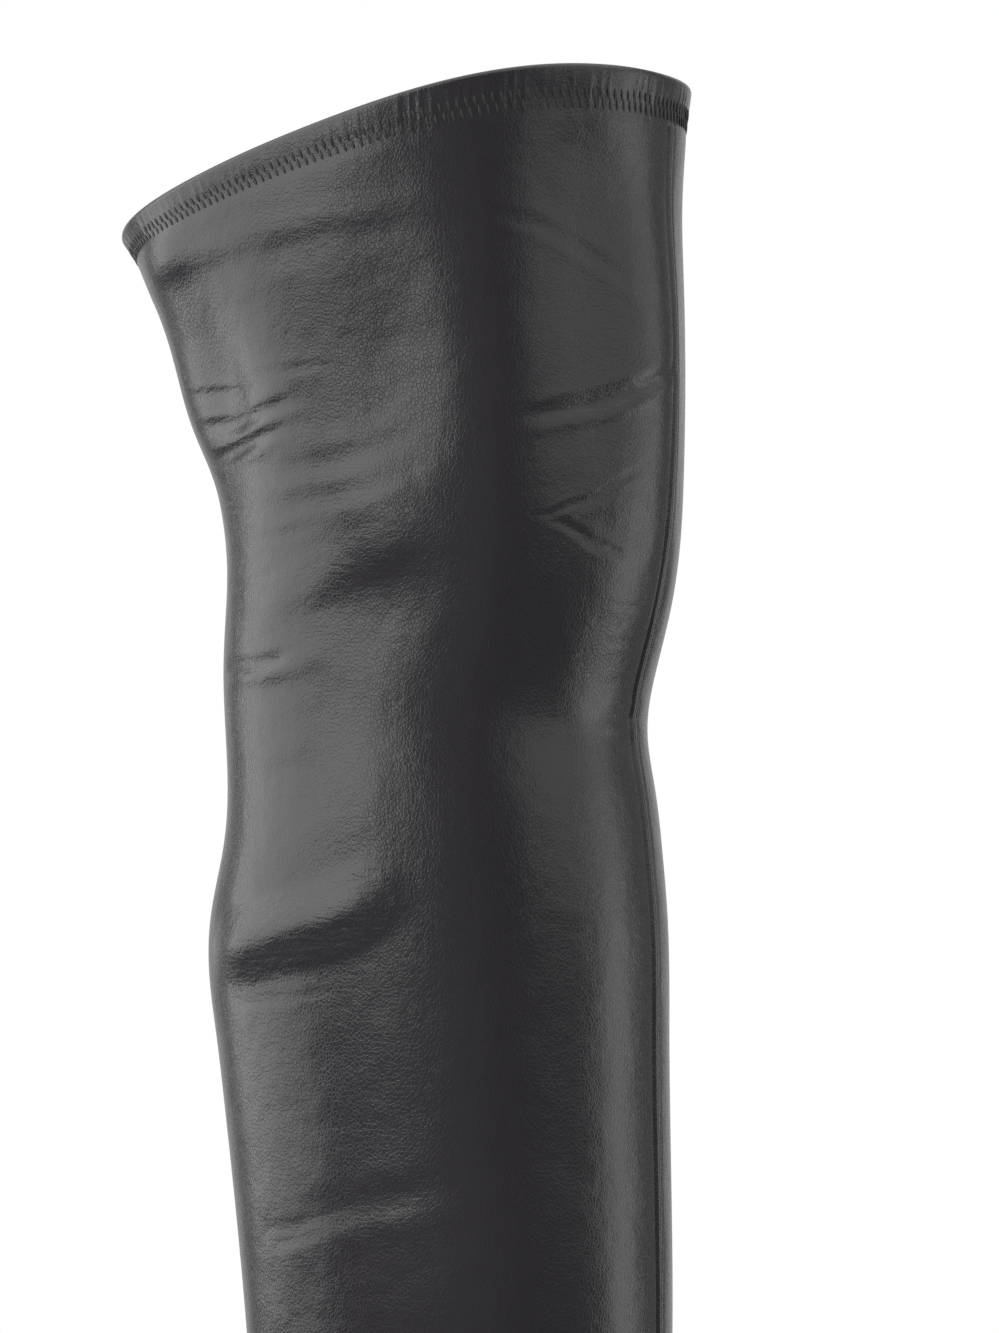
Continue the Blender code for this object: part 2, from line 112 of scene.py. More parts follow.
# Sections of the foot and of the leg, the same as the solids', as shares of the sizes above
FootSection = namedtuple(
    "FootSection", "bottom top_x top_z ridge lateral_edge medial_edge lateral medial widest"
)
FOOT_SECTIONS = [FootSection(*row) for row in (
    (1.000, 1.000, 0.065, 0.050, 0.050, 0.050, 0.050, 0.050, 0.40),
    (0.993, 0.992, 0.125, 0.050, -0.075, 0.175, -0.080, 0.180, 0.38),
    (0.968, 0.964, 0.178, 0.045, -0.210, 0.275, -0.222, 0.285, 0.35),
    (0.916, 0.908, 0.226, 0.035, -0.335, 0.375, -0.355, 0.390, 0.32),
    (0.840, 0.828, 0.278, 0.025, -0.430, 0.450, -0.455, 0.470, 0.30),
    (0.748, 0.727, 0.350, 0.020, -0.495, 0.480, -0.520, 0.505, 0.28),
    (0.660, 0.632, 0.440, 0.020, -0.505, 0.450, -0.525, 0.485, 0.27),
    (0.560, 0.545, 0.555, 0.020, -0.470, 0.365, -0.495, 0.430, 0.27),
    (0.460, 0.480, 0.675, 0.015, -0.415, 0.275, -0.455, 0.390, 0.28),
    (0.357, 0.440, 0.785, 0.010, -0.365, 0.250, -0.425, 0.385, 0.30),
    (0.252, 0.420, 0.875, 0.005, -0.355, 0.300, -0.415, 0.390, 0.33),
    (0.147, 0.411, 0.945, 0.000, -0.352, 0.334, -0.410, 0.395, 0.36),
    (0.072, 0.408, 0.990, 0.000, -0.315, 0.306, -0.405, 0.395, 0.38),
    (0.028, 0.407, 1.022, 0.000, -0.228, 0.226, -0.402, 0.395, 0.39),
    (0.006, 0.406, 1.046, 0.000, -0.112, 0.112, -0.401, 0.395, 0.40),
    (0.000, 0.406, 1.055, 0.000, 0.000, 0.000, -0.400, 0.395, 0.40),
)]
ShaftSection = namedtuple("ShaftSection", "back_z front_z back front half_width widest")
SHAFT_SECTIONS = [ShaftSection(*row) for row in (
    (0.118, 0.243, -0.022, 0.796, 0.290, 0.41),
    (0.142, 0.257, -0.020, 0.796, 0.290, 0.42),
    (0.178, 0.278, 0.018, 0.798, 0.296, 0.44),
    (0.218, 0.305, 0.050, 0.802, 0.310, 0.46),
    (0.262, 0.338, 0.060, 0.807, 0.330, 0.47),
    (0.316, 0.376, 0.040, 0.814, 0.360, 0.48),
    (0.382, 0.419, -0.010, 0.824, 0.396, 0.48),
    (0.451, 0.466, -0.058, 0.834, 0.430, 0.48),
    (0.518, 0.518, -0.088, 0.841, 0.462, 0.48),
    (0.593, 0.593, -0.132, 0.835, 0.484, 0.48),
    (0.639, 0.639, -0.166, 0.832, 0.495, 0.48),
    (0.674, 0.674, -0.178, 0.829, 0.500, 0.48),
    (0.698, 0.696, -0.150, 0.818, 0.498, 0.48),
    (0.724, 0.724, -0.134, 0.800, 0.488, 0.49),
    (0.754, 0.755, -0.142, 0.780, 0.480, 0.49),
    (0.784, 0.786, -0.146, 0.822, 0.486, 0.49),
    (0.812, 0.818, -0.138, 0.855, 0.496, 0.50),
    (0.840, 0.842, -0.154, 0.864, 0.510, 0.50),
    (0.870, 0.898, -0.212, 0.868, 0.532, 0.50),
    (0.903, 0.941, -0.262, 0.860, 0.556, 0.50),
    (0.927, 0.973, -0.332, 0.864, 0.572, 0.50),
    (0.943, 1.000, -0.400, 0.884, 0.582, 0.50),
)]
ROUNDNESS = 2.15
TOE_ROUNDNESS = 2.5

MM = 0.001
MERGE = 1e-6

# How the folds and swells lie on the leather
SHAFT_FROM = 0.14  # height from which the folds may reach
FACING = 0.2  # cosine past which a fold's far side is left alone
FOLD_TAPER = 0.28  # share of a fold's length in which it fades
FOLD_FREE = 0.002  # from the rim down to where folds and swells begin, and how slowly they do
FOLD_RISE = 0.02
SWELL_AT = 1.7  # the swells' places and widths beside a fold, in its half widths
SWELL_WIDTH = 1.2

# The turned hem: the leather goes over the rim and down inside, and two staggered rows of slanting
# stitches hold it
HEM_RADIUS = 0.0014  # of the roll at the rim
HEM_PUFF = 0.00005  # how far the band above the stitches stands out
PUFF_AT = 0.45  # the puff's middle and reach, in shares of the stitches' depth
PUFF_REACH = 0.42
HEM_TURN = 0.0105  # depth of the turned edge inside
HEM_FROM = 0.0125  # depth from which the hem has a finer grid of its own
HEM_COLUMNS = 912
RIM_STEPS = 10
STITCH_DEPTH = 0.0073  # from the rim down to the middle between the rows
STITCH_ROWS = 0.0019  # between the rows' middles
STITCH_HEIGHT = 0.0024
STITCH_LEAN = 0.0008  # how far forward a stitch's lower end lies
STITCH_PITCH = 0.0024
STITCH_DIP = 0.00022  # depth of the dip along the stitches
DIP_AT = 1.12
DIP_REACH = 0.4
THREAD_RADIUS = 0.00042
THREAD_FLATNESS = 0.4
THREAD_RISE = 0.00010
THREAD_SPINDLE = (0.1, 0.8, 1, 1, 0.8, 0.1)  # its thickness along a stitch
THREAD_SIDES = 6
PUCKER_PITCH = 0.0036
PUCKER_DEPTH = 0.00017
PUCKER_AT = 0.75
PUCKER_REACH = 0.5
PUCKER_DRIFTS = (0.01332, 0.031)  # lengths over which their spacing changes
PUCKER_BEAT = 0.0234  # length over which their height changes

# Finer forms of the sole and the heel
SOLE_STEPS = 300
SOLE_TOP_ROUND = 0.0005
INSOLE_ROUND = 0.0012
TREAD_PITCH = 0.0045
TREAD_DEPTH = 0.00035
TREAD_BEFORE = 0.030  # how far the grooves go beyond the flat tread, at its back and its front
TREAD_BEYOND = 0.026
TREAD_FADE = 0.002
TREAD_SHARE = 0.8  # share of the half width that is grooved
HEEL_STEPS = 60
HEEL_ROWS = 22
BREAST_ROUND = 0.0016
COVER_ROUND = 0.0007
COVER_ROLL = 0.03  # share of the heel's height in which the cover rolls under
LIFT_ROUND = 0.0005

# The floor
FLOOR_RADIUS = 0.9
FLOOR_FADE = 0.5  # width of the floor's faded edge
FLOOR_SPOKES = 97

# The seam down the front
SEAM_SPREAD = 0.0037  # between the front seam's two grooves
SEAM_START = 0.004  # length in which it rises from nothing under the hem
GROOVE_WIDTH = 0.0006
GROOVE_DEPTH = 0.0010
STRIP_HEIGHT = 0.0004  # of the raised strip between the grooves
FRONT_AROUND = 184.0  # degrees round the leg from the back, by the outer side

# Creases of the worn leather. A path runs forwards round the leg, by degrees from the back and heights in
# metres. The rest is in millimetres: half the crease's width, its depth, and the heights of the swells above
# and below it.
Fold = namedtuple("Fold", "path width depth above below")
FOLDS = [Fold(*row) for row in (
    # Under the hem: a faint one behind, and a clearer one in front
    (((22, 0.626), (58, 0.628), (85, 0.633), (108, 0.637), (128, 0.639)), 3.4, 0.10, 0.22, 0.04),
    (
        ((112, 0.639), (125, 0.640), (139, 0.637), (153, 0.631), (165, 0.625), (180, 0.618)),
        1.7, 0.22, 0.10, 0.16,
    ),
    # Behind the knee, fanning out forwards
    (((25, 0.599), (40, 0.598), (56, 0.597), (68, 0.598)), 1.2, 0.40, 0.12, 0.14),
    (((50, 0.598), (73, 0.601), (91, 0.602)), 1.2, 0.14, 0.06, 0.06),
    (((27, 0.590), (50, 0.589), (66, 0.591), (82, 0.5945)), 1.8, 0.55, 0.25, 0.30),
    (((20, 0.582), (40, 0.581), (56, 0.583), (76, 0.5875)), 1.7, 0.65, 0.25, 0.35),
    (((37, 0.574), (80, 0.576), (96, 0.580), (111, 0.585)), 3.0, 0.18, 0.10, 0.10),
    (((30, 0.566), (80, 0.568), (99, 0.574), (113, 0.580)), 2.8, 0.16, 0.09, 0.09),
    (((39, 0.558), (66, 0.559), (82, 0.562)), 1.4, 0.12, 0.06, 0.06),
    (((28, 0.547), (50, 0.548), (70, 0.550)), 1.4, 0.10, 0.05, 0.05),
    (((50, 0.529), (66, 0.532), (80, 0.537), (94, 0.544), (112, 0.552)), 5.0, 0.10, 0.36, 0.0),
    (((44, 0.517), (58, 0.517), (74, 0.519), (88, 0.523)), 3.0, 0.10, 0.18, 0.0),
    (((40, 0.497), (56, 0.496), (72, 0.497), (86, 0.501)), 3.5, 0.12, 0.16, 0.0),
    (((36, 0.527), (48, 0.5265), (60, 0.526), (76, 0.5275)), 1.8, 0.75, 0.20, 0.40),
    # Over the knee, on the outer side
    (((125, 0.586), (144, 0.590), (156, 0.593), (173, 0.599), (188, 0.607)), 1.8, 1.1, 0.10, 0.28),
    (((146, 0.591), (156, 0.5905), (165, 0.594), (178, 0.600)), 0.8, 0.48, 0.03, 0.08),
    (
        ((130, 0.562), (139, 0.563), (144, 0.565), (151, 0.567), (158, 0.571), (172, 0.577)),
        0.8, 0.42, 0.05, 0.05,
    ),
    (((143, 0.5625), (150, 0.565), (157, 0.568), (163, 0.572)), 0.7, 0.24, 0.03, 0.03),
    (
        ((134, 0.562), (140, 0.561), (147, 0.558), (153, 0.555), (160, 0.554), (168, 0.551)),
        1.1, 0.34, 0.04, 0.05,
    ),
    (((143, 0.560), (150, 0.558), (158, 0.555), (166, 0.553)), 0.7, 0.22, 0.03, 0.03),
    (((150, 0.561), (161, 0.5585), (176, 0.557)), 4.4, 0.45, 0.05, 0.05),
    (((158, 0.541), (167, 0.540), (177, 0.541)), 0.9, 0.08, 0.04, 0.04),
    (((161, 0.530), (168, 0.531), (180, 0.531)), 0.9, 0.08, 0.04, 0.04),
    (((165, 0.520), (173, 0.521), (184, 0.521)), 0.9, 0.08, 0.04, 0.04),
    (((161, 0.512), (175, 0.512), (202, 0.513)), 1.8, 0.30, 0.12, 0.15),
    # Under the calf's swell
    (
        ((36, 0.442), (61, 0.443), (74, 0.4455), (88, 0.448), (99, 0.4535), (112, 0.462)),
        6.0, 0.2, 2.5, 0.0,
    ),
    (((50, 0.437), (66, 0.438), (80, 0.439), (91, 0.441)), 1.1, 0.12, 0.05, 0.06),
    (((154, 0.435), (163, 0.437), (174, 0.435)), 1.0, 0.10, 0.05, 0.05),
    # Lower down the calf
    (
        ((50, 0.377), (72, 0.380), (84, 0.384), (99, 0.387), (111, 0.390), (127, 0.393)),
        3.8, 0.26, 0.02, 0.14,
    ),
    (((50, 0.378), (72, 0.3805), (85, 0.383)), 1.1, 0.09, 0.03, 0.03),
    (((58, 0.3745), (70, 0.376), (82, 0.379)), 1.1, 0.07, 0.03, 0.03),
)]

# Soft swells and hollows of the leather: centre in degrees and metres, half sizes and lift in millimetres,
# tilt in degrees
Swell = namedtuple("Swell", "around height wide tall tilt lift")
SWELLS = [Swell(*row) for row in (
    (100, 0.604, 16, 44, 0, -2.4),
    (152, 0.615, 13, 52, 0, -2.4),
    (178, 0.602, 12, 46, 0, 2.0),
    (20, 0.608, 20, 28, 0, 2.2),
    (48, 0.646, 14, 19, 0, 4.2),
    (52, 0.597, 14, 20, 0, -3.6),
    (93, 0.563, 15, 15, 12, 1.5),
    (98, 0.540, 17, 13, 0, -1.1),
    (186, 0.546, 3.5, 12, 0, -0.5),
    (91, 0.488, 10, 22, 0, 0.9),
)]

# The photograph's view
CAMERA_AZIMUTH = math.radians(26)
CAMERA_DISTANCE = 2.0
CAMERA_HEIGHT = 0.38
CAMERA_AIM = (-0.0403, 0.0042, 0.527)
CAMERA_LENS = 205.25


def natural_spline(knots, rows, at):
    """The natural cubic spline through rows of numbers at rising knots, read at the places in at."""
    knots, rows, at = np.asarray(knots, float), np.asarray(rows, float), np.asarray(at, float)
    step = np.diff(knots)
    rise = np.diff(rows, axis=0) / step[:, None]
    bend_matrix = np.eye(len(knots))
    bend_side = np.zeros_like(rows)
    inner = np.arange(1, len(knots) - 1)
    bend_matrix[inner, inner - 1] = step[:-1]
    bend_matrix[inner, inner] = 2 * (step[:-1] + step[1:])
    bend_matrix[inner, inner + 1] = step[1:]
    bend_side[1:-1] = 6 * np.diff(rise, axis=0)
    bend = np.linalg.solve(bend_matrix, bend_side)
    span = np.clip(np.searchsorted(knots, at, side="right") - 1, 0, len(step) - 1)
    ahead = (at - knots[span])[:, None]
    width = step[span][:, None]
    slope = rise[span] - width * (2 * bend[span] + bend[span + 1]) / 6
    cubic = (bend[span + 1] - bend[span]) / (6 * width)
    return rows[span] + ahead * (slope + ahead * (bend[span] / 2 + ahead * cubic))


def smooth_step(t):
    """0 below 0, 1 above 1, and 3t^2 - 2t^3 between."""
    t = np.clip(t, 0, 1)
    return t * t * (3 - 2 * t)


def hump(t):
    """exp(-t^2)."""
    return np.exp(-np.square(t))


def run_length(line):
    """Distances along a line of points, from its first."""
    return np.concatenate([[0], np.cumsum(np.linalg.norm(np.diff(line, axis=0), axis=1))])


def path_points(path, at):
    """Points of a flat path at distances along it."""
    run = run_length(path)
    return np.stack([np.interp(at, run, path[:, 0]), np.interp(at, run, path[:, 1])], axis=1)


def sole_under(x):
    """Height of the sole's underside: a sloping seat, a cubic down the arch, a flat tread, the toe spring."""
    x = np.asarray(x, float)
    run = TREAD_BACK - SEAT_END
    t = np.clip((x - SEAT_END) / run, 0, 1)
    seat_edge = HEEL_HEIGHT - SEAT_SLOPE * SEAT_END
    arch = seat_edge * (2 * t**3 - 3 * t**2 + 1) - SEAT_SLOPE * run * (t**3 - 2 * t**2 + t)
    toe = TOE_SPRING * (np.clip(x - TREAD_FRONT, 0, None) / (SOLE_LENGTH - TREAD_FRONT)) ** 2
    return np.where(x < SEAT_END, HEEL_HEIGHT - SEAT_SLOPE * x, np.where(x < TREAD_BACK, arch, toe))


def edge_height(x):
    """Height of the upper's lower edge, just clear of the sole."""
    return sole_under(x) + SOLE_THICKNESS + FIT_GAP


def section_rows():
    """The tables as rows of real sizes: bottom x, z, top x, z, ridge, edges, reaches, widest point."""
    foot = np.array(FOOT_SECTIONS)
    bottom = foot[:, 0] * SOLE_LENGTH
    top = foot[:, 1:3] * (SOLE_LENGTH, INSTEP_HEIGHT)
    foot = np.column_stack([bottom, edge_height(bottom), top, foot[:, 3:8] * BALL_WIDTH, foot[:, 8]])
    shaft = np.array(SHAFT_SECTIONS)
    back = shaft[:, [2, 0]] * (CALF_DEPTH, BOOT_HEIGHT)
    front = shaft[:, [3, 1]] * (CALF_DEPTH, BOOT_HEIGHT)
    half = shaft[:, 4] * CALF_WIDTH
    none = np.zeros((len(shaft), 3))
    return foot, np.column_stack([back, front, none, -half, half, shaft[:, 5]])


def upper_rows():
    """Section sizes row by row from the toe to the top edge, and each row's place along the boot."""
    foot, shaft = section_rows()
    whole = np.concatenate([foot, shaft])
    middle = (whole[:, 0:2] + whole[:, 2:4]) / 2
    knots = run_length(middle)
    even = np.linspace(0, 1, FOOT_ROWS)
    crowded = (1 - np.cos(math.pi * even)) / 2
    stations = SOLE_LENGTH * (1 - EVEN_SHARE * even - (1 - EVEN_SHARE) * crowded)
    toe_places = np.interp(-stations, -foot[:, 0], knots[: len(foot)])
    shaft_places = np.linspace(knots[len(foot) - 1], knots[-1] - HEM_HEIGHT, SHAFT_ROWS + 1)[1:]
    places = np.concatenate([toe_places, shaft_places, knots[-1:]])
    rows = natural_spline(knots, whole, places)
    edges = [0, 4, 5, 6]
    rows[:FOOT_ROWS, edges] = natural_spline(knots[: len(foot)], foot[:, edges], toe_places)
    rows[:FOOT_ROWS, 1] = edge_height(rows[:FOOT_ROWS, 0])
    back = np.concatenate([foot[-1:, :2], shaft[:, :2]])
    rows[FOOT_ROWS - 1 :, :2] = natural_spline(knots[len(foot) - 1 :], back, places[FOOT_ROWS - 1 :])
    rows[FOOT_ROWS:, 4:7] = 0
    return rows, places


def half_sections(rows, side, roundness):
    """Each row's curve from the lower edge up to the ridge on one side: part of a superellipse."""
    bottom_x, bottom_z, top_x, top_z, ridge, outer_edge, inner_edge, outer, inner, widest = rows.T[:, :, None]
    edge = np.abs((outer_edge if side < 0 else inner_edge) - ridge)
    reach = np.maximum(np.abs((outer if side < 0 else inner) - ridge), 1e-9)
    power = 2 / roundness[:, None]
    start = np.arccos(np.minimum(edge / reach, 1) ** (1 / power))
    turn = -start + (start + math.pi / 2) * np.linspace(0, 1, COLUMNS // 2 + 1)
    below = widest / np.maximum(np.sin(start), 1e-6) ** power
    share = widest + np.where(turn < 0, -below, 1 - widest) * np.abs(np.sin(turn)) ** power
    out = reach * np.abs(np.cos(turn)) ** power
    share[:, 0], share[:, -1], out[:, -1] = 0, 1, 0
    x = bottom_x + share * (top_x - bottom_x)
    z = bottom_z + share * (top_z - bottom_z)
    return np.stack([x, ridge + side * out, z], axis=-1)


def section_grid():
    """The solids' grid of the outer face, [row, column, xyz]: from the toe up, and round from the back."""
    rows, places = upper_rows()
    share = np.minimum(np.arange(len(rows)) / FOOT_ROWS, 1)
    roundness = TOE_ROUNDNESS + (ROUNDNESS - TOE_ROUNDNESS) * share
    outer, inner = half_sections(rows, -1, roundness), half_sections(rows, 1, roundness)
    grid = np.concatenate([outer, inner[:, -2::-1]], axis=1)
    column = np.arange(COLUMNS + 1)
    ease = np.clip(np.minimum(column, COLUMNS - column) / SMOOTHED_FROM, 0, 1)
    near = grid[FOOT_ROWS - SMOOTHED_FOOT_ROWS : FOOT_ROWS + SMOOTHED_SHAFT_ROWS]
    for _ in range(HEEL_SMOOTHING):
        near[1:-1] += ease[:, None] * (near[:-2] - 2 * near[1:-1] + near[2:]) / 4
    turn = np.linspace(0, 2 * math.pi, COLUMNS + 1)
    fade = np.clip(1 - (places[-1] - places) / TOPLINE_DEPTH, 0, 1) ** 2
    arch = (np.sin(turn) * (1 - np.cos(turn)) / 2) ** 2
    grid[:, :, 2] += TOPLINE_ARCH * fade[:, None] * arch
    return grid + (HEEL_X, 0, 0), places


def running_sum(places, density):
    """The density's integral from the first place up to each one."""
    return np.concatenate([[0], np.cumsum((density[1:] + density[:-1]) / 2 * np.diff(places))])


def spread_places(fine, density):
    """Places along fine, as close together as the density says: even steps of its running sum."""
    running = running_sum(fine, density)
    return np.interp(np.linspace(0, running[-1], round(running[-1]) + 1), running, fine)


def fine_columns():
    """Places of the fine columns, in the sections' columns: closer on the outer side and at the two seams."""
    turn = np.linspace(0, 360, 3601)
    to_back = np.minimum(turn, 360 - turn)
    outer = smooth_step((turn - 10) / 20) * smooth_step((205 - turn) / 15)
    density = 1 + OUTER_CLOSER * outer + BACK_CLOSER * hump(to_back / BACK_REACH)
    density += FRONT_CLOSER * hump((turn - FRONT_AROUND) / FRONT_REACH)
    density *= FINE_COLUMNS / running_sum(turn, density)[-1]
    return spread_places(turn, density) * COLUMNS / 360


def fine_rows(places):
    """Places of the fine rows, counted in the sections' rows, and how far each lies below the top edge."""
    row = np.linspace(0, len(places) - 1, 20 * len(places))
    place = np.interp(row, np.arange(len(places)), places)
    to_top = places[-1] - place
    step = np.where(row < FOOT_ROWS, FOOT_STEP, LOW_SHAFT_STEP)
    step = np.where(to_top < BOOT_HEIGHT - LEG_FROM, LEG_STEP, step)
    step = step / (1 + KNEE_CLOSER * hump((to_top - KNEE_BELOW) / KNEE_REACH))
    step = np.where(to_top < RIM_BAND, RIM_STEP, step)
    density = np.maximum(np.gradient(place, row) / step, np.where(row < FOOT_ROWS, 1.8, 1))
    found = spread_places(row, density)
    return found, np.interp(found, row, to_top)


def fine_surface():
    """The outer face laid through the sections by cubic splines, first along the rows, then round them.

    Rows under the heel's back point are open underneath, and those above it close on themselves at the back.
    """
    grid, places = section_grid()
    rows, to_top = fine_rows(places)
    columns = fine_columns()
    count = len(grid)
    along = natural_spline(np.arange(count), grid.reshape(count, -1), rows).reshape(len(rows), COLUMNS + 1, 3)
    first_closed = int(np.searchsorted(rows, FOOT_ROWS - 1))
    open_part = along[:first_closed].swapaxes(0, 1).reshape(COLUMNS + 1, -1)
    open_part = natural_spline(np.arange(COLUMNS + 1), open_part, columns)
    lap = 6
    closed = along[first_closed:, np.arange(-lap, COLUMNS + lap + 1) % COLUMNS]
    closed = closed.swapaxes(0, 1).reshape(COLUMNS + 2 * lap + 1, -1)
    closed = natural_spline(np.arange(-lap, COLUMNS + lap + 1), closed, columns)
    both = [part.reshape(len(columns), -1, 3).swapaxes(0, 1) for part in (open_part, closed)]
    return np.concatenate(both), to_top, columns * 360 / COLUMNS, first_closed


def grid_normals(points, first_closed):
    """Outward directions of a grid: the cross product of the steps round it and along it."""
    up = np.gradient(points, axis=0)
    across = np.gradient(points, axis=1)
    wrap = points[first_closed:, 1] - points[first_closed:, -2]
    across[first_closed:, 0] = across[first_closed:, -1] = wrap / 2
    up[first_closed:, -1] = up[first_closed:, 0]
    normals = np.cross(across, up)
    normals[0] = (1, 0, 0)
    return normals / np.maximum(np.linalg.norm(normals, axis=2), 1e-12)[:, :, None]


def on_leg(turn, height):
    """The base surface's point at an angle round the leg and a height."""
    column = np.interp(turn, around, np.arange(len(around)))
    near = min(int(column), len(around) - 2)
    share = column - near
    line = surface[first_closed:, near] * (1 - share) + surface[first_closed:, near + 1] * share
    return np.array([np.interp(height, line[:, 2], line[:, axis]) for axis in range(3)])


def fold_line(path, count=24):
    """Points on the base surface along a fold's path, a cubic spline through its angles and heights."""
    knots = np.arange(len(path))
    smooth = natural_spline(knots, path, np.linspace(0, knots[-1], count))
    return np.array([on_leg(turn, height) for turn, height in smooth])


def fold_depths(points, normals, fold):
    """How far one fold moves each point outwards, in metres.

    Across the crease the profile is a sum of humps exp(-t^2): the trough in its middle and a swell on each
    side. Along the crease it rises from nothing at one end and falls to nothing at the other.
    """
    moved = np.zeros(len(points))
    line = fold_line(fold.path)
    reach = 4 * fold.width * MM
    middle, half = (line.max(0) + line.min(0)) / 2, np.ptp(line, axis=0) / 2 + reach
    facing = normals @ normals[np.argmin(np.linalg.norm(points - line[len(line) // 2], axis=1))]
    near = np.flatnonzero(np.all(np.abs(points - middle) < half, axis=1) & (facing > FACING))
    starts, steps = line[:-1], np.diff(line, axis=0)
    lengths = np.linalg.norm(steps, axis=1)
    offset = points[near][:, None] - starts
    share = np.clip((offset * steps).sum(-1) / lengths**2, 0, 1)
    offset -= share[:, :, None] * steps
    nearest = np.linalg.norm(offset, axis=2).argmin(axis=1)
    pick = np.arange(len(near))
    up = np.cross(normals[near], steps[nearest] / lengths[nearest][:, None])
    across = (offset[pick, nearest] * up).sum(-1) / (fold.width * MM)
    run = run_length(line)
    along = (run[nearest] + share[pick, nearest] * lengths[nearest]) / run[-1]
    fade = smooth_step(along / FOLD_TAPER) * smooth_step((1 - along) / FOLD_TAPER)
    beyond = np.linalg.norm(offset[pick, nearest], axis=1) / reach
    profile = -fold.depth * hump(across)
    profile += fold.above * hump((across - SWELL_AT) / SWELL_WIDTH)
    profile += fold.below * hump((across + SWELL_AT) / SWELL_WIDTH)
    moved[near] = MM * profile * fade * smooth_step(4 * (1 - beyond))
    return moved


def swell_heights(points, normals, swell):
    """How far one swell moves each point outwards: lift * exp(-a^2 - b^2), with a and b in its half sizes."""
    centre = on_leg(swell.around, swell.height)
    normal = normals[np.argmin(np.linalg.norm(points - centre, axis=1))]
    level = np.array([-normal[1], normal[0], 0]) / np.linalg.norm(normal[:2])
    tilt = math.radians(swell.tilt)
    across = math.cos(tilt) * level + math.sin(tilt) * np.array([0, 0, 1])
    along = math.cos(tilt) * np.array([0, 0, 1]) - math.sin(tilt) * level
    offset = (points - centre) / MM
    height = hump(offset @ across / swell.wide) * hump(offset @ along / swell.tall)
    return MM * swell.lift * height * smooth_step((normals @ normal) / FACING)


def seam_heights(points, turn, below_top):
    """The front seam: a raised strip between two narrow grooves, from under the hem down the front."""
    ring = np.linalg.norm(points[:, :, :2] - points[:, :, :2].mean(axis=1, keepdims=True), axis=2)
    across = np.radians(turn - FRONT_AROUND) * ring
    left = hump((across + SEAM_SPREAD / 2) / GROOVE_WIDTH)
    right = hump((across - SEAM_SPREAD / 2) / GROOVE_WIDTH)
    strip = hump(across / (SEAM_SPREAD / 2.6))
    start = smooth_step((below_top - STITCH_DEPTH - STITCH_HEIGHT / 2) / SEAM_START)[:, None]
    return start * (STRIP_HEIGHT * strip - GROOVE_DEPTH * (left + right))


def hem_heights(below_top):
    """The turned hem: a band that puffs out above the stitches, and a dip along them."""
    down = (below_top / STITCH_DEPTH)[:, None]
    return HEM_PUFF * hump((down - PUFF_AT) / PUFF_REACH) - STITCH_DIP * hump((down - DIP_AT) / DIP_REACH)


def pucker_heights(points, below_top):
    """Small upright puckers of uneven spacing, drawn in by the stitches: crests that fade up to the rim."""
    turn = 2 * math.pi * run_length(points[-1])
    first, second = PUCKER_DRIFTS
    phase = turn / PUCKER_PITCH + 1.7 * np.sin(turn / first) + 0.9 * np.sin(turn / second)
    crest = np.exp(1.8 * (np.sin(phase) - 1)) * (0.75 + 0.35 * np.sin(turn / PUCKER_BEAT))
    down = (below_top / STITCH_DEPTH)[:, None]
    return PUCKER_DEPTH * (crest - 0.3) * hump((down - PUCKER_AT) / PUCKER_REACH)


def creased_leg():
    """The outer face with its folds, swells, seam and hem, and a mask of where the fine wrinkles are."""
    points, normals = surface.reshape(-1, 3), outward.reshape(-1, 3)
    leg = np.flatnonzero(points[:, 2] > SHAFT_FROM)
    lift = np.zeros(len(points))
    wrinkled = np.zeros(len(points))
    for fold in FOLDS:
        depth = fold_depths(points[leg], normals[leg], fold)
        lift[leg] += depth
        wrinkled[leg] += np.abs(depth) / MM
    for swell in SWELLS:
        lift[leg] += swell_heights(points[leg], normals[leg], swell)
    lift = lift.reshape(surface.shape[:2])
    edge_fade = smooth_step((to_top - FOLD_FREE) / FOLD_RISE)[:, None]
    lift = lift * edge_fade + seam_heights(surface, around, to_top) + hem_heights(to_top)
    return surface + outward * lift[:, :, None], np.clip(wrinkled.reshape(surface.shape[:2]), 0, 1)


def grid_quads(row_count, column_count, first=0):
    """The corners of a grid's faces, each turned so that it faces across x up."""
    number = first + np.arange(row_count * column_count).reshape(row_count, column_count)
    corners = (number[:-1, :-1], number[:-1, 1:], number[1:, 1:], number[1:, :-1])
    return np.stack([c.ravel() for c in corners], axis=1)


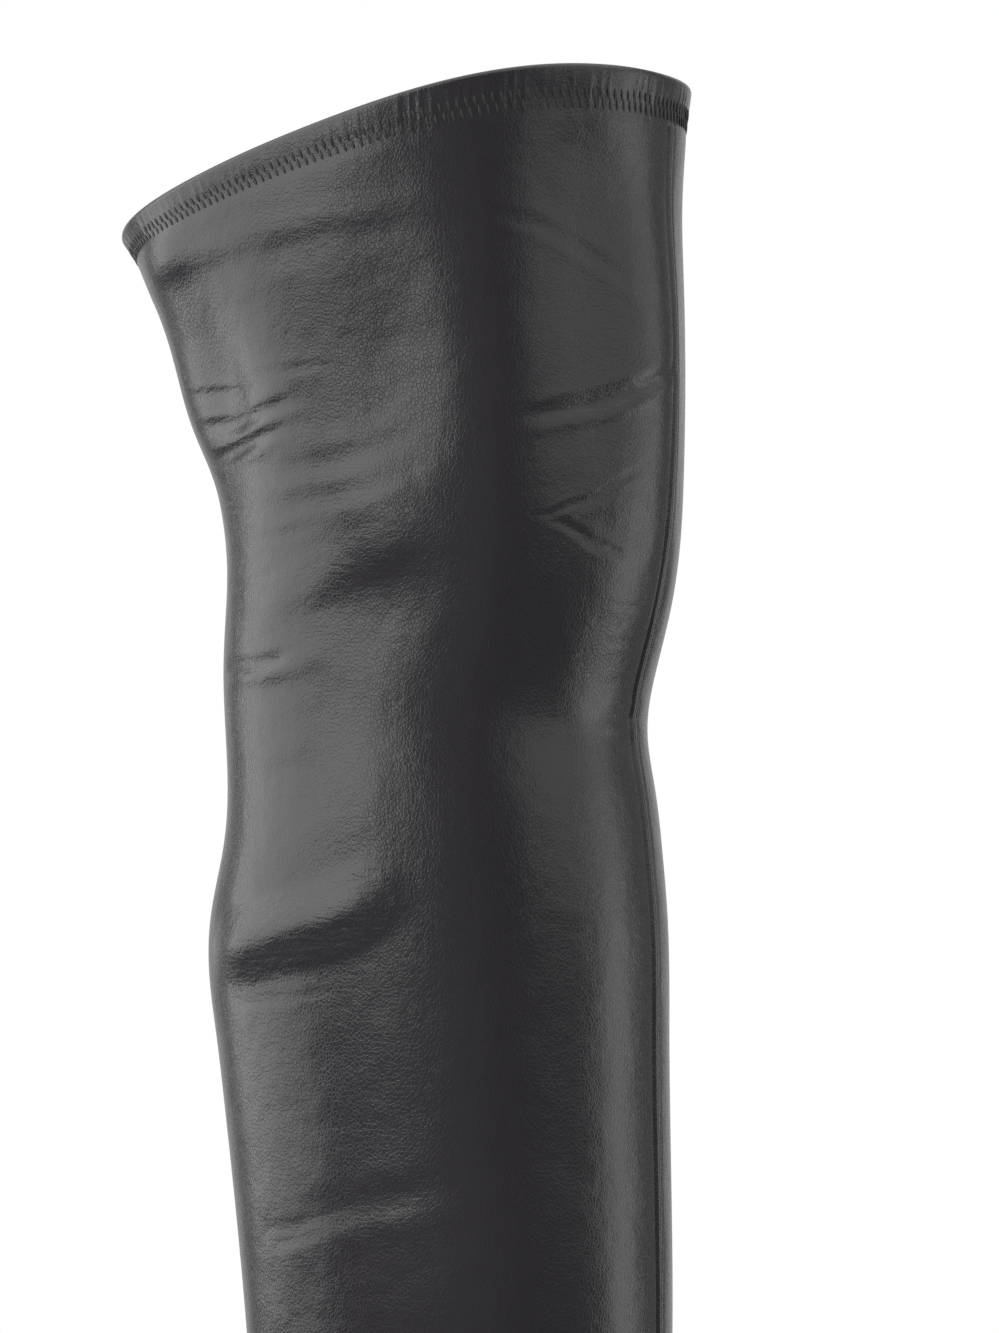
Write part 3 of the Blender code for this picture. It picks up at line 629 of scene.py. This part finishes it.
def add_piece(name, grids, material, replaced=(), masks=None):
    """A smooth mesh piece from one or more grids of points, with the points that fall together merged."""
    points = np.concatenate([g.reshape(-1, 3) for g in grids])
    firsts = np.cumsum([0] + [g.shape[0] * g.shape[1] for g in grids])
    quads = np.concatenate([grid_quads(g.shape[0], g.shape[1], first) for g, first in zip(grids, firsts)])
    mesh = bpy.data.meshes.new(name)
    mesh.vertices.add(len(points))
    mesh.vertices.foreach_set("co", points.astype(np.float32).ravel())
    mesh.loops.add(quads.size)
    mesh.loops.foreach_set("vertex_index", quads.astype(np.int32).ravel())
    mesh.polygons.add(len(quads))
    mesh.polygons.foreach_set("loop_start", np.arange(0, quads.size, 4, dtype=np.int32))
    mesh.polygons.foreach_set("loop_total", np.full(len(quads), 4, dtype=np.int32))
    mesh.update(calc_edges=True)
    for mask, values in (masks or {}).items():
        attribute = mesh.attributes.new(mask, "FLOAT", "POINT")
        attribute.data.foreach_set("value", np.asarray(values, np.float32).ravel())
    merged = bmesh.new()
    merged.from_mesh(mesh)
    bmesh.ops.remove_doubles(merged, verts=merged.verts, dist=MERGE)
    loose = [v for v in merged.verts if not v.link_faces]
    bmesh.ops.delete(merged, geom=loose, context="VERTS")
    merged.to_mesh(mesh)
    merged.free()
    mesh.shade_smooth()
    mesh.materials.append(material)
    piece = add_object(name, mesh)
    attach(piece, "root")
    if replaced:
        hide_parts(*replaced)


def finer_rows(grid):
    """The hem's rows of a grid, read by cubic splines at the hem's own columns."""
    count = grid.shape[1]
    rows = grid[hem_first:].swapaxes(0, 1).reshape(count, -1)
    fine = natural_spline(np.arange(count), rows, np.linspace(0, count - 1, HEM_COLUMNS + 1))
    return fine.reshape(HEM_COLUMNS + 1, -1, 3).swapaxes(0, 1)


def puckered_hem():
    """The hem's outer face on its finer columns with its puckers, and the directions outwards."""
    points, out = finer_rows(leather), finer_rows(leather_out)
    out /= np.linalg.norm(out, axis=2)[:, :, None]
    return points + out * pucker_heights(points, to_top[hem_first:])[:, :, None], out


def hem_grid(points, out):
    """The hem up its outer face, over the rim in a half circle and down inside to the turned edge."""
    depth = to_top[hem_first:]
    top = int(np.searchsorted(-depth, -HEM_RADIUS))
    turn = int(np.searchsorted(-depth, -HEM_TURN))
    rim, rim_out = points[top], out[top]
    up = points[top + 1] - points[top - 1]
    up /= np.linalg.norm(up, axis=1)[:, None]
    bend = np.linspace(0, math.pi, RIM_STEPS + 1)[1:, None, None]
    roll = rim - rim_out * HEM_RADIUS * (1 - np.cos(bend)) + up * HEM_RADIUS * np.sin(bend)
    inside = points[turn:top][::-1] - out[turn:top][::-1] * 2 * HEM_RADIUS
    edge = points[turn : turn + 1] - out[turn : turn + 1] * (WALL + FIT_GAP / 2)
    return np.concatenate([points[: top + 1], roll, inside, edge])


def lining_grid(leather, leather_out):
    """The lining: the leather's inner face, from the sole's edge up behind the turned hem, facing in."""
    end = int(np.searchsorted(-to_top, -HEM_TURN)) + 4
    out = leather_out.copy()
    out[:first_closed, [0, -1], 2] = 0
    out[:first_closed, [0, -1]] /= np.linalg.norm(out[:first_closed, [0, -1]], axis=2)[:, :, None]
    inner = leather - out * WALL
    rows = np.unique(np.append(np.arange(0, end, 2), [first_closed, end]))
    columns = np.unique(np.append(np.arange(0, inner.shape[1], 2), inner.shape[1] - 1))
    return inner[rows][:, columns][:, ::-1]


def edge_sides(margin, count):
    """The upper's lower edge moved outwards by margin: its outer and inner side from heel to toe, as x, y."""
    sides = []
    for column, turn in ((0, -1), (-1, 1)):
        path = surface[first_closed::-1, column, :2]
        path = path_points(path, run_length(path)[-1] * np.linspace(0, 1, count))
        along = np.gradient(path, axis=0)
        along[0], along[-1] = (0, turn), (0, -turn)
        out = np.stack([-turn * along[:, 1], turn * along[:, 0]], axis=1)
        sides.append(path + margin * out / np.linalg.norm(out, axis=1)[:, None])
    middle = (sides[0][[0, -1]] + sides[1][[0, -1]]) / 2
    for side in sides:
        side[[0, -1]] = middle
    return sides


def block_grid(levels, shares):
    """A closed block as one grid, from levels from the underside up, each two sides and a height for each x.

    The rows go from the middle of the underside out to the outer side, up it, in over the top to the middle,
    out to the inner side, down it and back. shares are the places across the underside and the top, from 0 at
    the middle to 1.
    """
    rows = []
    for number in (0, 1):
        half = []
        under = [(levels[0], share) for share in shares]
        over = [(levels[-1], share) for share in shares[::-1]]
        for (sides, height), share in under + [(level, 1) for level in levels[1:-1]] + over:
            middle = (sides[0] + sides[1]) / 2
            place = middle + share * (sides[number] - middle)
            half.append(np.column_stack([place, height(place[:, 0], share)]))
        rows += half if number == 0 else half[::-1]
    return np.array(rows)


def tread(x, share):
    """The sole's underside, with shallow grooves across the ball that stop short of its edge."""
    place = x - HEEL_X
    wave = smooth_step((np.cos(2 * math.pi * place / TREAD_PITCH) - 0.35) / 0.4)
    inside = smooth_step((place - TREAD_BACK + TREAD_BEFORE) / TREAD_FADE)
    inside *= smooth_step((TREAD_FRONT + TREAD_BEYOND - place) / TREAD_FADE)
    return sole_under(place) + TREAD_DEPTH * wave * inside * (share < TREAD_SHARE)


def raised_sole(rise):
    """A height for each x: the sole's underside raised by rise."""
    return lambda x, share: sole_under(x - HEEL_X) + rise


def rounding(radius, shares):
    """A quarter round's distances in from its side and down from its top, at shares of its turn."""
    return [(radius * (1 - math.cos(turn)), radius * (1 - math.sin(turn))) for turn in shares * math.pi / 2]


def outsole_levels():
    """The outsole's levels: a rounded lower edge, an upright side and a rounded upper one."""
    levels = [(edge_sides(SOLE_MARGIN - SOLE_BEVEL, SOLE_STEPS), tread)]
    for rise, inset in rounding(SOLE_BEVEL, np.linspace(0.25, 1, 4)):
        levels.append((edge_sides(SOLE_MARGIN - inset, SOLE_STEPS), raised_sole(rise)))
    for inset, drop in rounding(SOLE_TOP_ROUND, np.linspace(0, 1, 4)):
        levels.append((edge_sides(SOLE_MARGIN - inset, SOLE_STEPS), raised_sole(SOLE_THICKNESS - drop)))
    return levels


def insole_levels():
    """The insole: a plate with a rounded upper edge."""
    margin = -WALL - INSOLE_MARGIN
    bottom = SOLE_THICKNESS + FIT_GAP
    levels = [(edge_sides(margin, SOLE_STEPS // 2), raised_sole(bottom))]
    for inset, drop in rounding(INSOLE_ROUND, np.linspace(0, 1, 5)):
        rise = bottom + INSOLE_THICKNESS - drop
        levels.append((edge_sides(margin - inset, SOLE_STEPS // 2), raised_sole(rise)))
    return levels


def heel_sides():
    """The heel's outline under the seat: from the middle of the back to the breast, and across it."""
    sides = []
    for side in edge_sides(SOLE_MARGIN - HEEL_INSET, 4 * HEEL_STEPS):
        breast = HEEL_X + HEEL_TOP_LENGTH - BREAST_ROUND
        end = np.interp(breast, side[:, 0], run_length(side))
        path = path_points(side, np.linspace(0, end, HEEL_STEPS))
        turn = np.linspace(0, math.pi / 2, 7)[1:, None]
        inwards = (np.cos(turn) - 1) * np.sign(path[-1, 1])
        corner = path[-1] + BREAST_ROUND * np.hstack([np.sin(turn), inwards])
        across = np.linspace(1, 0, 9)[1:, None]
        front = np.hstack([np.full_like(across, corner[-1, 0]), corner[-1, 1] * across])
        sides.append(np.concatenate([path, corner, front]))
    return sides


def lift_side(side, sides):
    """One side of the heel's outline, scaled to the top lift."""
    ring = np.concatenate(sides)
    scale = (LIFT_LENGTH / np.ptp(ring[:, 0]), LIFT_WIDTH / np.ptp(ring[:, 1]))
    return (side - (ring[:, 0].min(), 0)) * scale + (HEEL_X + LIFT_BACK, 0)


def shrunk(sides, inset):
    """Two sides moved in by inset, by scaling them about their middle."""
    ring = np.concatenate(sides)
    middle = (ring.max(0) + ring.min(0)) / 2
    scale = 1 - 2 * inset / np.ptp(ring, axis=0)
    return [middle + (side - middle) * scale for side in sides]


def heel_height(bottom, share):
    """A height for each x: a share of the way from the lift's top up to the seat."""
    return lambda x, _: bottom + (sole_under(x - HEEL_X) - FIT_GAP - bottom) * share


def heel_levels():
    """The covered heel: drawn in from the seat to the lift, by the height's share to a power."""
    top = heel_sides()
    low = [lift_side(side, top) for side in top]
    bottom = LIFT_THICKNESS + FIT_GAP
    levels = []
    for share in np.concatenate([np.linspace(0, COVER_ROLL, 4), np.linspace(2 * COVER_ROLL, 1, HEEL_ROWS)]):
        above_edge = min(share / COVER_ROLL, 1)
        rolled = COVER_ROUND * (1 - math.sqrt(1 - (1 - above_edge) ** 2))
        sides = [low_side + (side - low_side) * share**HEEL_CURVE for low_side, side in zip(low, top)]
        levels.append((shrunk(sides, rolled), heel_height(bottom, share)))
    return levels


def level_height(height):
    """The same height for each x."""
    return lambda x, _: np.full_like(x, height)


def lift_levels():
    """The top lift: a plate with small rounded edges."""
    top = heel_sides()
    sides = [lift_side(side, top) for side in top]
    edge = [(0, LIFT_ROUND), (0.3 * LIFT_ROUND, 0.3 * LIFT_ROUND), (LIFT_ROUND, 0)]
    edge += [(LIFT_THICKNESS - height, inset) for height, inset in edge[::-1]]
    return [(shrunk(sides, inset), level_height(height)) for height, inset in edge]


def between(grid, rows, columns):
    """The grid's values at places between its rows and columns, by bilinear blending."""
    row = np.clip(rows.astype(int), 0, grid.shape[0] - 2)
    column = np.clip(columns.astype(int), 0, grid.shape[1] - 2)
    a, b = (rows - row)[..., None], (columns - column)[..., None]
    low = grid[row, column] * (1 - b) + grid[row, column + 1] * b
    high = grid[row + 1, column] * (1 - b) + grid[row + 1, column + 1] * b
    return low * (1 - a) + high * a


def stitch_grids(points, out):
    """Two staggered rows of slanting stitches round the hem: thin spindles, pressed in at their ends."""
    length = run_length(points[-1])
    depth = to_top[hem_first:]
    count = round(length[-1] / STITCH_PITCH)
    steps = len(THREAD_SPINDLE)
    share = np.linspace(-1, 1, steps)[None, :]
    grids = []
    for row in (-0.5, 0.5):
        place = (np.arange(count) + 0.5 + row / 2)[:, None] * length[-1] / count + share * STITCH_LEAN / 2
        columns = np.interp(place, length, np.arange(len(length)))
        below = STITCH_DEPTH + row * STITCH_ROWS + share * STITCH_HEIGHT / 2
        rows = np.interp(below, depth[::-1], np.arange(len(depth))[::-1]) + 0 * columns
        core, away = between(points, rows, columns), between(out, rows, columns)
        core = core + away * THREAD_RISE * np.sin(np.linspace(0, math.pi, steps))[None, :, None]
        along = np.gradient(core, axis=1)
        along /= np.linalg.norm(along, axis=2)[:, :, None]
        side = np.cross(away, along)[:, :, None]
        turn = np.linspace(0, 2 * math.pi, THREAD_SIDES + 1)[:, None]
        thick = THREAD_RADIUS * np.array(THREAD_SPINDLE)[None, :, None, None]
        round_core = np.cos(turn) * side + THREAD_FLATNESS * np.sin(turn) * away[:, :, None]
        grids += list(core[:, :, None] + thick * round_core)
    return [grid[:, ::-1] for grid in grids]


class Value:
    """A shader socket that takes part in sums written as Python: each operator adds its Math node."""

    def __init__(self, finish, socket):
        self.finish, self.socket = finish, socket

    def math(self, operation, *values):
        return self.finish.node("ShaderNodeMath", {"operation": operation}, dict(enumerate(values)))

    def __add__(self, other):
        return self.math("ADD", self, other)

    def __radd__(self, other):
        return self.math("ADD", other, self)

    def __sub__(self, other):
        return self.math("SUBTRACT", self, other)

    def __rsub__(self, other):
        return self.math("SUBTRACT", other, self)

    def __mul__(self, other):
        return self.math("MULTIPLY", self, other)

    def __rmul__(self, other):
        return self.math("MULTIPLY", other, self)

    def clamped(self, low=0.0, high=1.0):
        return self.math("MAXIMUM", self.math("MINIMUM", self, high), low)


class Finish:
    """The nodes of a material or a world, added one by one."""

    def __init__(self, owner):
        owner.use_nodes = True
        self.owner, self.tree = owner, owner.node_tree
        self.tree.nodes.clear()

    @cached_property
    def object_space(self):
        return self.node("ShaderNodeTexCoord", {}, {}, "Object")

    def node(self, kind, settings, values, output=0):
        """A node: its settings are set first, then the values or links of its sockets."""
        made = self.tree.nodes.new(kind)
        for setting, value in settings.items():
            if setting == "stops":
                set_stops(made.color_ramp.elements, value)
            else:
                setattr(made, setting, value)
        for socket, value in values.items():
            if isinstance(value, Value):
                self.tree.links.new(value.socket, made.inputs[socket])
            else:
                made.inputs[socket].default_value = value
        return Value(self, made.outputs[output]) if made.outputs else None

    def ramp(self, value, *stops):
        """A colour ramp with its stops, each a place and a colour."""
        return self.node("ShaderNodeValToRGB", {"stops": stops}, {"Fac": value}, "Color")

    def stretched(self, scale):
        """Object coordinates scaled by a factor for each axis."""
        return self.node("ShaderNodeMapping", {}, {"Vector": self.object_space, "Scale": scale})

    def noise(self, scale, detail=3.0, rough=0.5, vector=None, distortion=0.0):
        values = {"Vector": vector or self.object_space, "Scale": scale, "Detail": detail, "Roughness": rough}
        return self.node("ShaderNodeTexNoise", {}, {**values, "Distortion": distortion}, "Fac")

    def cells(self, scale, feature, vector):
        values = {"Vector": vector, "Scale": scale}
        return self.node("ShaderNodeTexVoronoi", {"feature": feature}, values, "Distance")

    def bump(self, height, distance, strength, under=None):
        values = {"Height": height, "Distance": distance, "Strength": strength}
        if under is not None:
            values["Normal"] = under
        return self.node("ShaderNodeBump", {}, values)

    def surface(self, **values):
        """The Principled shader with its sockets by name, words joined by underscores."""
        named = {socket.replace("_", " "): value for socket, value in values.items()}
        shader = self.node("ShaderNodeBsdfPrincipled", {}, named)
        self.node("ShaderNodeOutputMaterial", {}, {"Surface": shader})
        return self.owner


def set_stops(elements, stops):
    """A ramp's first two stops moved to their places, and any others added."""
    for number, (place, colour) in enumerate(stops):
        stop = elements[number] if number < 2 else elements.new(place)
        stop.position, stop.color = place, (*colour, 1)


def nappa(name, dark, light, wrinkles):
    """Smooth stretch nappa: fine pebbles, hair lines where the leg creases, uneven tone and gloss."""
    finish = Finish(bpy.data.materials.new(name))
    tone = finish.noise(9.0, 4.0, 0.6)
    mottle = finish.noise(140.0, 3.0, 0.6)
    pebbles = finish.cells(1050.0, "DISTANCE_TO_EDGE", finish.stretched((1, 1, 0.8))).clamped(0.0, 0.2)
    pores = finish.noise(1500.0, 2.0, 0.5)
    upright = finish.noise(300.0, 3.0, 0.55, finish.stretched((1, 1, 0.3)))
    grain = 1.2 * pebbles + 0.15 * pores + 0.5 * upright
    uneven = finish.noise(75.0, 3.0, 0.5)
    normal = finish.bump(grain, 0.0002, 0.5, finish.bump(uneven, 0.0015, 0.3))
    if wrinkles:
        mask = finish.node("ShaderNodeAttribute", {"attribute_name": "wrinkled"}, {}, "Fac")
        lines = finish.noise(260.0, 4.0, 0.6, finish.stretched((0.8, 0.8, 2.6)), 0.8)
        normal = finish.bump(lines * (0.05 + 0.95 * mask.clamped(0.0, 0.5)), 0.0007, 0.6, normal)
    base = finish.ramp(0.7 * tone + 0.3 * mottle, (0.3, dark), (0.7, light))
    return finish.surface(
        Base_Color=base,
        Roughness=0.25 + 0.08 * tone - 0.4 * pebbles,
        Specular_IOR_Level=0.5,
        Normal=normal,
    )


def textile(name, dark, light):
    """Brushed lining: a matt knit whose loops are a few tenths of a millimetre."""
    finish = Finish(bpy.data.materials.new(name))
    loops = finish.cells(1500.0, "F1", finish.stretched((1, 1, 0.6)))
    tone = finish.noise(60.0, 4.0, 0.6)
    base = finish.ramp(0.5 * tone + 0.5 * loops, (0.25, dark), (0.75, light))
    return finish.surface(Base_Color=base, Roughness=0.88, Normal=finish.bump(loops, 0.0002, 0.6))


def rubber(name, dark, light, roughness):
    """Moulded rubber: a fine stipple and slight wear on the tone."""
    finish = Finish(bpy.data.materials.new(name))
    stipple = finish.noise(1500.0, 2.0, 0.5)
    wear = finish.noise(45.0, 5.0, 0.65)
    base = finish.ramp(wear, (0.35, dark), (0.7, light))
    normal = finish.bump(stipple, 0.00012, 0.5)
    return finish.surface(Base_Color=base, Roughness=roughness + 0.12 * wear, Normal=normal)


def thread_finish(name):
    """Spun polyester thread: matt black with a fine twist."""
    finish = Finish(bpy.data.materials.new(name))
    twist = finish.noise(4200.0, 2.0, 0.5)
    base = finish.ramp(twist, (0.3, (0.008, 0.008, 0.009)), (0.7, (0.022, 0.021, 0.022)))
    return finish.surface(Base_Color=base, Roughness=0.6, Normal=finish.bump(twist, 0.0001, 0.4))


def floor_finish():
    """Plain pale studio floor that fades out towards its edge."""
    finish = Finish(bpy.data.materials.new("floor"))
    away = finish.node("ShaderNodeVectorMath", {"operation": "LENGTH"}, {0: finish.object_space}, "Value")
    tone = finish.noise(1.5, 2.0, 0.5)
    base = finish.ramp(tone, (0.3, (0.80, 0.80, 0.80)), (0.7, (0.83, 0.83, 0.83)))
    seen = ((FLOOR_RADIUS - away) * (1 / FLOOR_FADE)).clamped()
    return finish.surface(Base_Color=base, Roughness=0.6, Alpha=seen)


def add_object(name, data):
    """A new object in the scene."""
    made = bpy.data.objects.new(name, data)
    bpy.context.scene.collection.objects.link(made)
    return made


def aim_at(made, place, aim):
    """Put a camera or a light at a place, facing another."""
    made.location = place
    made.rotation_mode = "QUATERNION"
    made.rotation_quaternion = mathutils.Vector(aim - place).to_track_quat("-Z", "Y")


def add_camera():
    """The camera at the photograph's height and side of the boot, aimed at the middle of the frame."""
    aim = np.array(CAMERA_AIM)
    place = aim + np.array([math.sin(CAMERA_AZIMUTH), -math.cos(CAMERA_AZIMUTH), 0]) * CAMERA_DISTANCE
    place[2] = CAMERA_HEIGHT
    data = bpy.data.cameras.new("camera")
    data.lens = CAMERA_LENS
    data.sensor_width = 36
    data.clip_start, data.clip_end = 0.05, 100
    camera = add_object("camera", data)
    aim_at(camera, place, aim)
    bpy.context.scene.camera = camera


def add_light(name, shape, size, radiance):
    """A softbox that the camera doesn't see, of a width and a height."""
    data = bpy.data.lights.new(name, "AREA")
    data.shape = shape
    data.size, data.size_y = size
    data.energy = radiance * math.pi * size[0] * size[1]
    light = add_object(name, data)
    light.visible_camera = False
    return light


def add_softbox(name, side, distance, width, height, middle, radiance):
    """A softbox beside the boot: side is in degrees from the camera's direction, to the picture's right."""
    turn = CAMERA_AZIMUTH + math.radians(side)
    aim = np.array([CAMERA_AIM[0], CAMERA_AIM[1], middle])
    place = aim + distance * np.array([math.sin(turn), -math.cos(turn), 0])
    aim_at(add_light(name, "RECTANGLE", (width, height), radiance), place, aim)


def add_overhead(height, size, radiance):
    """A square softbox over the boot, facing down."""
    light = add_light("overhead", "SQUARE", (size, size), radiance)
    light.location = (CAMERA_AIM[0], CAMERA_AIM[1], height)


def add_world(seen, lit):
    """White behind the boot for the camera, and a dim grey room for the light."""
    world = bpy.data.worlds.new("studio")
    bpy.context.scene.world = world
    sky = Finish(world)
    camera_ray = sky.node("ShaderNodeLightPath", {}, {}, "Is Camera Ray")
    room, white = (
        sky.node("ShaderNodeBackground", {}, {"Color": (grey, grey, grey, 1)}) for grey in (lit, seen)
    )
    both = sky.node("ShaderNodeMixShader", {}, {"Fac": camera_ray, 1: room, 2: white})
    sky.node("ShaderNodeOutputWorld", {}, {"Surface": both})


def add_floor():
    """A pale round floor, level with the sole."""
    turn = np.linspace(0, 2 * math.pi, FLOOR_SPOKES)[None, :]
    radius = np.array([0, 0.2, 0.5, 0.8, 1])[:, None] * FLOOR_RADIUS
    grid = np.stack([radius * np.cos(turn), radius * np.sin(turn), 0 * radius * turn], axis=-1)
    quads = grid_quads(len(radius), FLOOR_SPOKES)[:, ::-1]
    mesh = bpy.data.meshes.new("floor")
    mesh.from_pydata(grid.reshape(-1, 3).tolist(), [], quads.tolist())
    mesh.materials.append(floor_finish())
    add_object("floor", mesh)


surface, to_top, around, first_closed = fine_surface()
outward = grid_normals(surface, first_closed)
leather, wrinkled = creased_leg()
leather_out = grid_normals(leather, first_closed)
hem_first = int(np.searchsorted(-to_top, -HEM_FROM))
hem, hem_out = puckered_hem()

NAPPA_TONES = ((0.0095, 0.0078, 0.0100), (0.0138, 0.0116, 0.0144))
black_nappa = nappa("black_nappa", *NAPPA_TONES, True)
cover_nappa = nappa("cover_nappa", *NAPPA_TONES, False)
lining_cloth = textile("lining_cloth", (0.018, 0.018, 0.019), (0.034, 0.033, 0.034))
insole_leather = nappa("insole_leather", (0.040, 0.037, 0.035), (0.055, 0.051, 0.049), False)
sole_rubber = rubber("sole_rubber", (0.016, 0.016, 0.017), (0.026, 0.026, 0.027), 0.5)
lift_rubber = rubber("lift_rubber", (0.014, 0.014, 0.014), (0.022, 0.022, 0.022), 0.58)
black_thread = thread_finish("black_thread")

leg_first = int(np.searchsorted(-to_top, LEG_FROM - BOOT_HEIGHT))
foot, leg = slice(0, leg_first + 1), slice(leg_first, hem_first + 1)
for name, rows, replaced in (("foot_leather", foot, ()), ("leg_leather", leg, ("upper",))):
    mask = {"wrinkled": wrinkled[rows]}
    add_piece(name, [leather[rows]], black_nappa, replaced, mask)
add_piece("hem", [hem_grid(hem, hem_out)], black_nappa)
add_piece("lining", [lining_grid(leather, leather_out)], lining_cloth)
add_piece("hem_stitches", stitch_grids(hem, hem_out), black_thread)
wide_shares = np.array([0, 0.2, 0.4, 0.6, 0.76, 0.84, 0.93, 1])
even_shares = np.linspace(0, 1, 5)
for name, levels, shares, finish, slot, node in (
    ("sole", outsole_levels(), wide_shares, sole_rubber, "outsole_rubber", "outsole"),
    ("sock", insole_levels(), even_shares, insole_leather, "insole_leather", "insole"),
    ("heel_cover", heel_levels(), even_shares, cover_nappa, "heel_cover", "heel"),
    ("heel_tip", lift_levels(), even_shares, lift_rubber, "lift_rubber", "top_lift"),
):
    add_piece(name, [block_grid(levels, shares)], finish, (node,))

add_camera()
for softbox in (
    ("left_softbox", -97, 1.2, 1.32, 1.95, 1.22, 2.5),
    ("left_front_softbox", -49, 1.2, 0.85, 1.70, 1.37, 3.0),
    ("right_low_softbox", 92, 1.2, 0.66, 0.56, 0.38, 1.9),
    ("right_softbox", 94, 1.2, 0.60, 1.34, 1.33, 1.1),
    ("right_front_softbox", 54, 1.2, 1.0, 1.64, 1.40, 0.9),
    ("front_fill", -22, 1.8, 2.0, 1.2, 0.4, 0.17),
    ("back_wall", 180, 2.0, 2.8, 2.4, 0.9, 0.45),
):
    add_softbox(*softbox)
add_overhead(2.4, 3.0, 1.3)
add_world(1.0, 0.30)
add_floor()
bpy.context.scene.view_settings.view_transform = "Standard"
